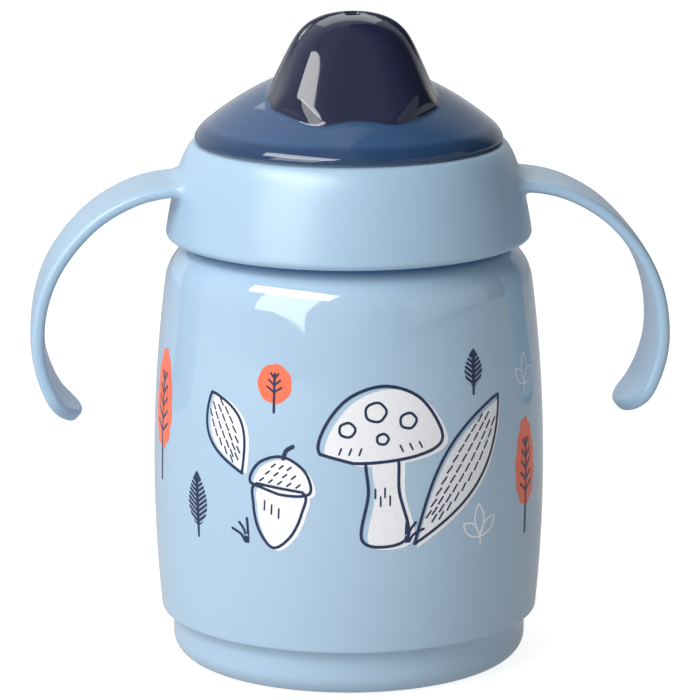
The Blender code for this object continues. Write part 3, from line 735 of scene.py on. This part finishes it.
def add_valve_cover(material):
    outline = region(rounded([
        (AXIS, -0.9, 0), (11.8, -0.9, 0.4), (11.8, 0.6, 0.4), (8.7, 0.6, 0.2), (8.7, 4.0, 0.4),
        (7.4, 4.0, 0.4), (7.4, 0.6, 0.4), (3.6, 0.6, 0.4), (3.6, 4.0, 0.4), (2.4, 4.0, 0.4),
        (2.4, 0.6, 0.3), (AXIS, 0.6, 0),
    ], 30))

    def field(x, y, z):
        across, deep, up = x, y - WELL_Y, z - VALVE_DATUM
        body = outline(np.hypot(across, deep), up)
        body = soft_max(body, -np.maximum(ports(across, deep), up - 1.6), 0.3)
        tab = np.maximum(soft_max(np.abs(across) - 4.5, -4.9 - up, 2.5), up + 0.3)
        tab = soft_max(tab, np.abs(deep) - 0.8, 0.6)
        return soft_min(body, tab, 0.6)

    add_valve_part("valve_floor_plate", field, 12.3, -5.5, 4.6, material, "valve_floor", "valve_cover")


def add_turned(name, corners, place, material, body, node):
    """A small turned piece, its outline given from a place on its own axis."""
    points, faces = turned(rounded(corners, 20), VALVE_STEPS)
    make_piece(name, (points + np.array(place), faces), material, body, [node])


def add_soft_parts(material):
    valve = (0, WELL_Y, VALVE_DATUM)
    add_turned("cup_rim_seal", [
        (29.1, 96.0, 0), (30.7, 96.0, 0.35), (30.7, 97.2, 0.35), (27.6, 97.2, 0.35), (27.6, 96.0, 0.35),
    ], (0, 0, 0), material, "seal", "rim_seal")
    add_turned("valve_ring", [
        (10.5, 5.9, 0), (10.5, 5.3, 0.2), (11.3, 5.3, 0.5), (11.3, 6.5, 0.5), (10.5, 6.5, 0.2),
    ], valve, material, "valve_unit", "valve_seal_ring")
    add_turned("valve_disc", [
        (0, 4.3, 0), (8.5, 4.3, 0.3), (8.5, 6.3, 0.5), (7.3, 6.3, 0.4), (6.7, 5.2, 0.5), (4.4, 5.2, 0.6),
        (3.6, 6.0, 0.6), (0, 6.0, 0),
    ], valve, material, "diaphragm", "valve_diaphragm")
    add_turned("vent_umbrella", [
        (0, -1.8, 0), (2.2, -1.8, 1.0), (4.4, -0.9, 0.3), (4.4, -0.3, 0.2), (1.0, -0.3, 0.2),
        (1.0, 2.6, 0.2), (1.9, 2.6, 0.3), (1.0, 3.7, 0.4), (0, 3.7, 0),
    ], (0, VENT_Y, VENT_BOSS_BOTTOM), material, "air_vent", "vent_valve")


# Print on the barrel: u runs round the barrel and v is the height, both in millimetres

def line_distance(u, v, line):
    best = np.full(np.broadcast(u, v).shape, FAR)
    for (au, av), (bu, bv) in zip(line, line[1:]):
        run_u, run_v = bu - au, bv - av
        size = run_u ** 2 + run_v ** 2 or 1
        t = np.clip(((u - au) * run_u + (v - av) * run_v) / size, 0, 1)
        best = np.minimum(best, np.hypot(u - au - t * run_u, v - av - t * run_v))
    return best


def stroke(line, width):
    return lambda u, v: line_distance(u, v, line) - width / 2


def curve(points, width, steps=6):
    return stroke(smooth_path(points, steps), width)


def region(ring):
    """The field of a closed ring of points, negative inside."""
    closed = [*ring, ring[0]]

    def field(u, v):
        distance = line_distance(u, v, closed)
        odd = np.zeros(distance.shape, bool)
        for (au, av), (bu, bv) in zip(closed, closed[1:]):
            spans = (av > v) != (bv > v)
            odd ^= spans & (u < au + (v - av) * (bu - au) / ((bv - av) or 1))
        return np.where(odd, -distance, distance)

    return field


def border(ring, width):
    return stroke([*ring, ring[0]], width)


def joined(fields):
    return lambda u, v: np.minimum.reduce([field(u, v) for field in fields])


def without(field, cutter):
    return lambda u, v: np.maximum(field(u, v), -cutter(u, v))


def shifted(field, across, up):
    return lambda u, v: field(u - across, v - up)


def placed(field, place, tilt):
    """A motif's field moved to its place and turned clockwise by an angle in degrees."""
    c, s = math.cos(math.radians(tilt)), math.sin(math.radians(tilt))
    return lambda u, v: field(
        c * (u - place[0]) - s * (v - place[1]), s * (u - place[0]) + c * (v - place[1])
    )


def leaf_ring(length, width, belly=0.45, steps=28):
    """A pointed leaf standing on the origin, widest at a share of its length."""
    ring = []
    for i in range(2 * steps):
        t = i / steps if i < steps else 2 - i / steps
        half = width / 2 * math.sin(math.pi * t ** (math.log(0.5) / math.log(belly))) ** 0.85
        ring.append((half if i < steps else -half, length * t))
    return ring


def round_ring(width, height, ripple=0.0, waves=9, top_heavy=0.0):
    ring = []
    for i in range(72):
        a = math.tau * i / 72
        swell = 1 + ripple * math.sin(waves * a)
        lean = 1 + top_heavy * math.cos(a)
        ring.append((width / 2 * math.sin(a) * swell * lean, height / 2 * math.cos(a) * swell))
    return ring


def branches(bottom, top, count, reach, rise, width):
    """A trunk's pairs of short branches, shorter towards the top."""
    strokes = []
    for i in range(count):
        share = i / max(count - 1, 1)
        height = bottom + (top - bottom) * share
        out = reach * (1 - 0.45 * share)
        for side in (-1, 1):
            strokes.append(stroke([(0, height), (side * out, height + rise)], width))
    return strokes


def tall_tree(height):
    """A wavy-edged tall tree and its trunk, from the middle of its crown."""
    crown = region(round_ring(height * 0.46, height, 0.035, 11, -0.16))
    trunk = [stroke([(0, -0.82 * height), (0, 0.26 * height)], 0.6)]
    trunk += branches(-0.34 * height, 0.16 * height, 5, 0.13 * height, 0.1 * height, LINE)
    return [("orange", crown), ("navy", joined(trunk))]


def round_tree():
    crown = region(round_ring(7.1, 7.5, 0.02, 7))
    trunk = [stroke([(0, -5.4), (0, 1.9)], LINE), *branches(-1.6, 1.0, 3, 1.5, 1.0, 0.4)]
    return [("orange", crown), ("navy", joined(trunk))]


def feather_leaf(length, width):
    """A solid dark leaf with pale barb lines and a stem, standing on the end of its stem."""
    stem = 0.16 * length
    blade = shifted(region(leaf_ring(length - stem, width, 0.42)), 0, stem)
    count = round(length / 1.35)
    gaps = []
    for i in range(count):
        height = stem + (length - stem) * (0.06 + 0.8 * i / count)
        for side in (-1, 1):
            gaps.append(stroke([(side * 0.45, height), (side * width, height + 0.62 * width)], 0.3))
    blade = without(blade, joined(gaps))
    return [("navy", joined([blade, stroke([(0, 0), (0, length - 0.4)], LINE)]))]


def dashed_leaf(length, width, dashes):
    """A pale leaf with its outline set a little to one side, filled with rows of short dashes."""
    ring = leaf_ring(length, width, 0.55)
    marks = []
    for row, share in enumerate((-0.62, -0.2, 0.22, 0.64)):
        for i in range(dashes):
            t = 0.16 + 0.7 * (i + 0.5 * (row % 2)) / dashes
            half = width / 2 * math.sin(math.pi * t ** 1.16) ** 0.85
            across = share * half * 0.86
            tip = 0.5 * length / dashes
            marks.append(stroke([(across, length * t), (across * 0.94, length * t + tip)], FINE_LINE))
    fill = shifted(region(ring), 0.9, -0.5)
    return [("white", fill), ("navy", joined([border(ring, OUTLINE), *marks]))]


def acorn():
    """An acorn with a hatched cap: pale nut, dark outline set to one side."""
    nut = closed_path([
        (-4.6, 2.4), (-4.9, -1.8), (-3.2, -6.6), (0, -9.4), (3.2, -6.6), (4.9, -1.8), (4.6, 2.4),
    ], 6)
    cap = closed_path([
        (-5.9, 2.2), (-5.0, 6.0), (-1.6, 8.2), (1.6, 8.2), (5.0, 6.0), (5.9, 2.2), (0, 1.2),
    ], 6)
    stalk = curve([(0.2, 8.2), (0.6, 9.8), (1.8, 10.8)], 0.8)
    lines = [border(nut, OUTLINE), border(cap, OUTLINE), stalk]
    for row in range(3):
        reach = 4.6 - 1.1 * row
        for i in range(5 - row):
            across = -reach + 2 * reach * (i + 0.5) / (5 - row)
            height = 3.3 + 1.55 * row
            lines.append(stroke([(across - 0.35, height - 0.25), (across + 0.35, height + 0.45)], FINE_LINE))
    for i in range(3):
        across = -2.6 + 1.5 * i
        lines.append(stroke([(across, -0.6 - 0.5 * i), (across + 0.1, -2.4 - 0.5 * i)], FINE_LINE))
    fill = shifted(joined([region(nut), region(cap)]), 0.9, -0.4)
    return [("white", fill), ("navy", joined(lines))]


def mushroom():
    """A wide mushroom with spots and gills, its pale fill set a little to one side."""
    cap = closed_path([
        (-11.6, 1.2), (-10.4, 6.4), (-5.6, 11.6), (1.2, 13.4), (7.6, 11.0), (11.4, 5.8), (12.0, 1.4),
        (6.0, -0.6), (-5.4, -0.8),
    ], 7)
    stem = closed_path([
        (-2.7, 0.2), (-2.9, -7.0), (-4.6, -15.6), (0.2, -17.4), (4.4, -15.4), (3.0, -7.0), (2.8, 0.2),
    ], 7)
    lines = [border(cap, 0.6), without(border(stem, 0.6), region(cap))]
    for across, height, size in ((-6.2, 5.6, 1.5), (-0.6, 8.6, 2.0), (5.6, 6.4, 1.6), (0.4, 3.4, 1.1)):
        lines.append(shifted(border(round_ring(2 * size, 1.8 * size, 0.03, 5), LINE), across, height))
    for side in (-1, 1):
        for i in range(3):
            across = side * (4.2 + 1.9 * i)
            lines.append(stroke([(across, 0.7 + 0.16 * i), (across - side * 0.5, 1.9 + 0.1 * i)], 0.36))
    for i in range(4):
        across, height = -1.5 + 0.9 * i, -6.0 - 1.6 * (i % 2)
        lines.append(stroke([(across, height), (across - 0.1, height - 1.8)], FINE_LINE))
    fill = shifted(joined([region(cap), region(stem)]), 1.2, -0.7)
    return [("white", fill), ("navy", joined(lines))]


def grass(side):
    """Three blades of grass beside a motif."""
    blades = []
    for tip, height in ((0.3, 4.6), (2.0, 3.6), (3.6, 2.2)):
        bend = (side * 0.45 * tip, height * 0.6)
        blades.append(curve([(side * 0.2 * tip, 0), bend, (side * tip, height)], LINE))
    return [("navy", joined(blades))]


def sprout(size):
    """Three open petals in a thin pale line."""
    lines = []
    for tilt, length in ((-48, 0.78), (0, 1.0), (48, 0.78)):
        petal = border(leaf_ring(size * length, size * 0.34, 0.55, 14), FINE_LINE)
        lines.append(placed(petal, (0, 0), tilt))
    lines.append(stroke([(0, 0), (0, -0.22 * size)], FINE_LINE))
    return [("white", joined(lines))]


# Each motif's shapes, its place (u, v), its tilt in degrees and its reach from that place
MOTIFS = [
    (tall_tree(19.5), (-50.0, 53.5), 0, 17.5),
    (dashed_leaf(16.5, 8.6, 6), (-24.2, 43.6), -28, 18.0),
    (acorn(), (-16.6, 39.2), 6, 12.5),
    (grass(-1), (-22.8, 30.4), 0, 6.0),
    (round_tree(), (-17.6, 61.4), 0, 6.5),
    (feather_leaf(12.8, 5.4), (-35.3, 29.4), -2, 14.0),
    (mushroom(), (3.2, 48.0), -3, 19.5),
    (grass(1), (7.8, 31.4), 0, 6.0),
    (dashed_leaf(33.0, 9.8, 10), (9.6, 30.8), 37, 35.0),
    (feather_leaf(8.6, 4.4), (22.9, 58.2), 3, 9.5),
    (sprout(6.2), (39.3, 57.2), 4, 7.5),
    (sprout(6.6), (24.2, 30.2), -4, 8.0),
    (tall_tree(17.2), (38.8, 42.2), 0, 15.5),
]

# Single ones that fill the two places at the sides between the pattern's copies
SIDE_MOTIFS = [
    (feather_leaf(9.4, 4.6), (60.4, 49.0), -4, 10.5),
    (sprout(6.4), (61.2, 33.0), 5, 7.5),
    (feather_leaf(9.4, 4.6), (169.8, 51.0), 4, 10.5),
    (sprout(6.4), (169.4, 35.0), -5, 7.5),
]


def outline_segments(field, place, reach):
    """Points and segments round the areas where a field is negative, within reach of a place."""
    count = 2 * math.ceil(reach / PRINT_CELL)
    us, vs = (middle - reach + 2 * reach * np.arange(count + 1) / count for middle in place)
    values = field(us[:, None], vs[None, :])
    inside = values < 0
    mixed = sum(inside[i:count + i, j:count + j].astype(int) for i in (0, 1) for j in (0, 1))
    points, index, segments = [], {}, []

    def crossing(a, b):
        key = (min(a, b), max(a, b))
        if key not in index:
            start, end = values[key[0]], values[key[1]]
            t = min(max(start / (start - end), 0.02), 0.98)
            (i, j), (k, m) = key
            index[key] = len(points)
            points.append((us[i] + t * (us[k] - us[i]), vs[j] + t * (vs[m] - vs[j])))
        return index[key]

    for i, j in np.argwhere((mixed > 0) & (mixed < 4)).tolist():
        ring = [(i, j), (i + 1, j), (i + 1, j + 1), (i, j + 1)]
        hits = [crossing(a, b) for a, b in zip(ring, ring[1:] + ring[:1]) if inside[a] != inside[b]]
        if len(hits) == 4:
            turn = 1 if inside[ring[0]] else -1
            hits = hits[turn:] + hits[:turn]
        segments += [(hits[k], hits[k + 1]) for k in range(0, len(hits), 2)]
    return points, segments


def film(field, place, reach, top):
    """A thin closed film over a field's inside, wrapped on the barrel: points and faces."""
    outline, segments = outline_segments(field, place, reach)
    spots = np.arange(-reach, reach, PRINT_SPACING)
    grid = np.stack(np.meshgrid(place[0] + spots, place[1] + spots), -1).reshape(-1, 2)
    grid = grid[field(grid[:, 0], grid[:, 1]) < -PRINT_MARGIN]
    flat = [Vector(p) for p in outline] + [Vector(p) for p in grid]
    verts, _, triangles, *_ = delaunay_2d_cdt(flat, segments, [], 0, 1e-6)
    spread_out = np.array([tuple(p) for p in verts])
    triangles = np.array(triangles)
    middles = spread_out[triangles].mean(1)
    triangles = triangles[field(middles[:, 0], middles[:, 1]) < 0]
    used, triangles = np.unique(triangles, return_inverse=True)
    triangles = triangles.reshape(-1, 3).tolist()
    angle = spread_out[used, 0] / PRINT_RADIUS
    height = spread_out[used, 1]
    layers = []
    for lift in (PRINT_BOTTOM, top):
        radius = barrel_radius(height) + lift
        layers.append(np.stack([radius * np.sin(angle), -radius * np.cos(angle), height], 1))
    count = len(used)
    edges = dict.fromkeys(edge for a, b, c in triangles for edge in ((a, b), (b, c), (c, a)))
    walls = [(a, b, b + count, a + count) for a, b in edges if (b, a) not in edges]
    faces = [(c, b, a) for a, b, c in triangles]
    faces += [(a + count, b + count, c + count) for a, b, c in triangles]
    return np.vstack(layers), faces + walls


def add_print(looks):
    """The pattern on the front, and once more round the back, one film for each ink."""
    half_way = math.pi * PRINT_RADIUS
    pattern = MOTIFS + SIDE_MOTIFS
    pattern += [(shapes, (u + half_way, v), tilt, reach) for shapes, (u, v), tilt, reach in MOTIFS]
    for ink in ("white", "orange", "navy"):
        points, faces, total = [], [], 0
        top = PRINT_OVER_TOP if ink == "navy" else PRINT_TOP
        for shapes, spot, tilt, reach in pattern:
            for colour, field in shapes:
                if colour != ink:
                    continue
                more, new_faces = film(placed(field, spot, tilt), spot, reach, top)
                points.append(more)
                faces += [tuple(k + total for k in face) for face in new_faces]
                total += len(more)
        make_piece(f"print_{ink}", (np.vstack(points), faces), looks[f"ink_{ink}"], "cup")


# Materials

def new_material(name):
    material = bpy.data.materials.new(name)
    material.use_nodes = True
    return material, material.node_tree, material.node_tree.nodes["Principled BSDF"]


def wire(tree, node, inputs):
    """Sets a node's inputs, or links them where a socket is given."""
    for name, value in inputs.items():
        if isinstance(value, bpy.types.NodeSocket):
            tree.links.new(value, node.inputs[name])
        else:
            node.inputs[name].default_value = value


def add_node(tree, kind, inputs, **settings):
    node = tree.nodes.new(kind)
    for name, value in settings.items():
        setattr(node, name, value)
    wire(tree, node, inputs)
    return node


def noise(tree, scale, detail=3.0):
    """Noise over the object's own space; scale is the number of features in a metre."""
    place = tree.nodes.new("ShaderNodeTexCoord").outputs["Object"]
    inputs = {"Scale": scale, "Detail": detail, "Vector": place}
    return add_node(tree, "ShaderNodeTexNoise", inputs).outputs["Fac"]


def spread_values(tree, value, low, high, start=0.3, end=0.7):
    """Maps a value from one range to another; the first suits noise."""
    inputs = {"Value": value, "From Min": start, "From Max": end, "To Min": low, "To Max": high}
    return add_node(tree, "ShaderNodeMapRange", inputs).outputs["Result"]


def blend_colours(tree, value, first, second):
    """Blends two colours, of which the first may be a socket."""
    if isinstance(first, tuple):
        first = (*first, 1)
    inputs = {"A": first, "B": (*second, 1), "Factor": value}
    return add_node(tree, "ShaderNodeMix", inputs, data_type="RGBA").outputs["Result"]


def shade(colour, factor):
    return tuple(min(1.0, channel * factor) for channel in colour)


def bumped(tree, layers):
    """A normal with fine bumps of (features in a metre, depth in millimetres) stacked on it."""
    below = {}
    for scale, depth in layers:
        inputs = {"Strength": 1.0, "Distance": depth * MM, "Height": noise(tree, scale), **below}
        below = {"Normal": add_node(tree, "ShaderNodeBump", inputs).outputs["Normal"]}
    return below["Normal"]


def moulded(name, colour, variation, roughness, bumps, specular=0.5, gap_painted_shade=None):
    """Moulded plastic: a faint cloudiness in its colour, uneven gloss and a fine surface.

    Two heights, if given, bound a band of painted shade: a deeper blue that stands in for the
    shade in the narrow gap under the collar.
    """
    material, tree, shader = new_material(name)
    cloud = spread_values(tree, noise(tree, 45, 4), 0, 1)
    colours = blend_colours(tree, cloud, shade(colour, 1 - variation), shade(colour, 1 + variation))
    # Painted shade in a band under the collar, between the two heights
    if gap_painted_shade:
        height = place_outputs(tree)["Z"]
        for level, beyond in zip(gap_painted_shade, (GAP_PAINTED_SHADE_COLOUR, colour)):
            share = spread_values(tree, height, 0, 1, level * MM, (level + GAP_PAINTED_SHADE_FADE) * MM)
            colours = blend_colours(tree, share, colours, beyond)
    wire(tree, shader, {
        "Base Color": colours,
        "Roughness": spread_values(tree, noise(tree, 420, 4), *roughness),
        "Specular IOR Level": specular,
        "Normal": bumped(tree, bumps),
    })
    return material


def place_outputs(tree):
    """The X, Y and Z of the shaded point, in metres."""
    place = tree.nodes.new("ShaderNodeTexCoord").outputs["Object"]
    return add_node(tree, "ShaderNodeSeparateXYZ", {"Vector": place}).outputs


def translucent_dome():
    """Tinted soft plastic: clear enough over the deck to show it, with painted shade at the rim and deeper
    painted shade in the hollow spout.
    """
    material, tree, shader = new_material("spout_soft_tinted")
    parts = place_outputs(tree)

    def calculate(operation, a, b):
        return add_node(tree, "ShaderNodeMath", {0: a, 1: b}, operation=operation).outputs["Value"]

    x, y, z = (parts[axis] for axis in "XYZ")
    squared = calculate("ADD", calculate("MULTIPLY", x, x), calculate("MULTIPLY", y, y))
    surface = calculate("MULTIPLY", squared, DOME_CURVE / MM)
    above = calculate("SUBTRACT", calculate("ADD", z, surface), DOME_APEX * MM)
    # Painted shade: the tint darkens towards the rim and most over the hollow spout, which is also made less
    # clear
    spout_shade_mask = spread_values(tree, above, 0, 1, *(height * MM for height in SPOUT_PAINTED_SHADE_HEIGHTS))
    rim_shade_mask = spread_values(tree, squared, 0, 1, *((radius * MM) ** 2 for radius in RIM_PAINTED_SHADE_RADII))
    tint_and_painted_shade = blend_colours(tree, spout_shade_mask, blend_colours(tree, rim_shade_mask, DECK_TINT, RIM_PAINTED_SHADE), SPOUT_PAINTED_SHADE)
    wire(tree, shader, {
        "Base Color": tint_and_painted_shade,
        "IOR": 1.5,
        "Roughness": spread_values(tree, noise(tree, 300, 4), 0.03, 0.06),
        "Specular IOR Level": 0.72,
        "Transmission Weight": spread_values(tree, spout_shade_mask, DECK_CLEARNESS, SPOUT_CLEARNESS, 0, 1),
        "Normal": bumped(tree, [(900, 0.002)]),
    })
    return material


# Studio

def add_camera():
    azimuth = math.radians(CAMERA_AZIMUTH)
    data = bpy.data.cameras.new("camera")
    data.lens = CAMERA_LENS
    data.sensor_width = CAMERA_SENSOR
    data.shift_x = CAMERA_SHIFT
    data.clip_start = 0.05
    data.clip_end = 20.0
    camera = add_object("camera", data)
    out, side = -CAMERA_DISTANCE * math.cos(azimuth), CAMERA_DISTANCE * math.sin(azimuth)
    camera.location = Vector((side, out, CAMERA_HEIGHT)) * MM
    aim = Vector((0, 0, CAMERA_AIM * MM))
    camera.rotation_euler = (aim - camera.location).to_track_quat("-Z", "Y").to_euler()
    bpy.context.scene.camera = camera


def add_panel(name, azimuth, elevation, width, height, brightness, roll):
    """A softbox facing the cup, placed by its direction; azimuth 0 is in front and 90 to the right."""
    a, e = math.radians(azimuth), math.radians(elevation)
    target = Vector((0, 0, PANEL_TARGET)) * MM
    away = Vector((math.sin(a) * math.cos(e), -math.cos(a) * math.cos(e), math.sin(e)))
    data = bpy.data.lights.new(name, "AREA")
    data.shape = "RECTANGLE"
    data.size = width * MM
    data.size_y = height * MM
    data.energy = brightness * math.pi * data.size * data.size_y
    light = add_object(name, data)
    light.location = target + away * PANEL_DISTANCE * MM
    facing = (-away).to_track_quat("-Z", "Y") @ Quaternion((0, 0, 1), math.radians(roll))
    light.rotation_euler = facing.to_euler()


def add_surround():
    """A white room, dim behind the camera, with a dark card on the right."""
    world = bpy.data.worlds.new("surround")
    world.use_nodes = True
    bpy.context.scene.world = world
    tree = world.node_tree
    place = tree.nodes.new("ShaderNodeTexCoord").outputs["Generated"]
    azimuth = math.radians(CAMERA_AZIMUTH)
    aims = []
    for aim in ((math.cos(azimuth), math.sin(azimuth), 0), (math.sin(azimuth), -math.cos(azimuth), 0)):
        dot = add_node(tree, "ShaderNodeVectorMath", {0: place, 1: aim}, operation="DOT_PRODUCT")
        aims.append(dot.outputs["Value"])
    angle = add_node(tree, "ShaderNodeMath", dict(enumerate(aims)), operation="ARCTAN2")
    turn = spread_values(tree, angle.outputs["Value"], 0, 1, -math.pi, math.pi)
    ramp = tree.nodes.new("ShaderNodeValToRGB")
    stops = ramp.color_ramp.elements
    while len(stops) < len(SURROUND):
        stops.new(1.0)
    for stop, (degrees, level) in zip(stops, SURROUND):
        stop.position = (degrees + 180) / 360
        stop.color = (level, level * 1.01, level * 1.02, 1)
    tree.links.new(turn, ramp.inputs["Fac"])
    wire(tree, tree.nodes["Background"], {"Color": ramp.outputs["Color"], "Strength": 1.0})


def add_floor():
    """White paper, shown bright, that throws less light up at the cup."""
    mesh = bpy.data.meshes.new("floor")
    reach, drop = FLOOR_REACH * MM, FLOOR_DROP * MM
    corners = [(x * reach, y * reach, -drop) for x, y in ((-1, -1), (1, -1), (1, 1), (-1, 1))]
    mesh.from_pydata(corners, [], [(0, 1, 2, 3)])
    floor = add_object("floor", mesh)
    material, tree, shader = new_material("floor_paper")
    cloud = spread_values(tree, noise(tree, 3), 0, 1)
    ray = tree.nodes.new("ShaderNodeLightPath").outputs["Is Camera Ray"]
    wire(tree, shader, {
        "Base Color": blend_colours(tree, cloud, *FLOOR_SHADES),
        "Roughness": 0.9,
        "Specular IOR Level": 0.1,
        "Emission Color": (1, 1, 1, 1),
        "Emission Strength": spread_values(tree, ray, FLOOR_BOUNCE, FLOOR_GLOW, 0, 1),
    })
    mesh.materials.append(material)


def main():
    bpy.context.scene.view_settings.view_transform = "Standard"
    looks = {name: moulded(name, *look) for name, look in MOULDED.items()}
    add_cup(looks["body_gloss"])
    add_print(looks)
    add_collar(looks["collar_satin"])
    add_dome(translucent_dome())
    add_valve_housing(looks["valve_white"])
    add_valve_cover(looks["valve_white"])
    add_soft_parts(looks["silicone_frosted"])
    add_surround()
    for name, panel in PANELS.items():
        add_panel(name, *panel)
    add_floor()
    add_camera()


main()
